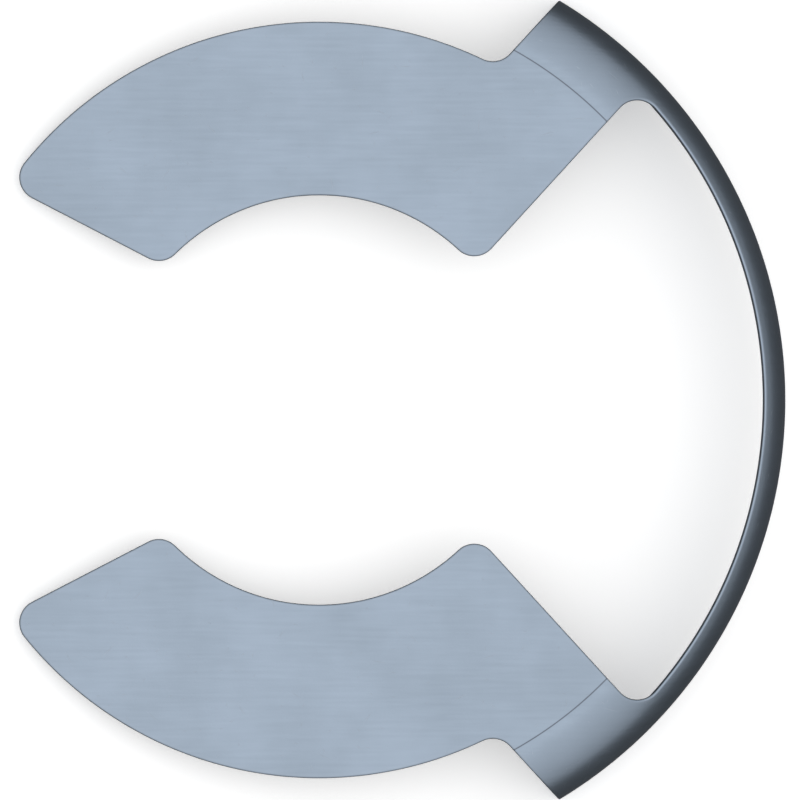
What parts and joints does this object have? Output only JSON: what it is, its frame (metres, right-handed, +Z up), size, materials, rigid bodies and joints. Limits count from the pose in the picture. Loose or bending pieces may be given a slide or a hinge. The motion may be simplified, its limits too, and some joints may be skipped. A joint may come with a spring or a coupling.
{
  "type": "e clip",
  "caption": "Side-mounted e clip for a grooved shaft: two flat crescent arms joined round the back by a spring strap turned down at right angles.",
  "frame": {"origin": "middle of the clip's box on the surface it rests on, strap downwards", "axes": "+Z up; +Y across the two arms; +X from the mouth towards the strap. The clip leans 9.62 degrees about Y, because it rests on the strap's two lower corners and the arms' tips, so the seat's axis is (-0.167, 0, 0.986)"},
  "size_m": [0.0348, 0.036, 0.0057],
  "materials": {
    "spring_steel": "satin bluish-grey, passivated, with tumbled edges"
  },
  "bodies": {
    "root": {"retaining_clip": "spring_steel"}
  },
  "joints": []
}
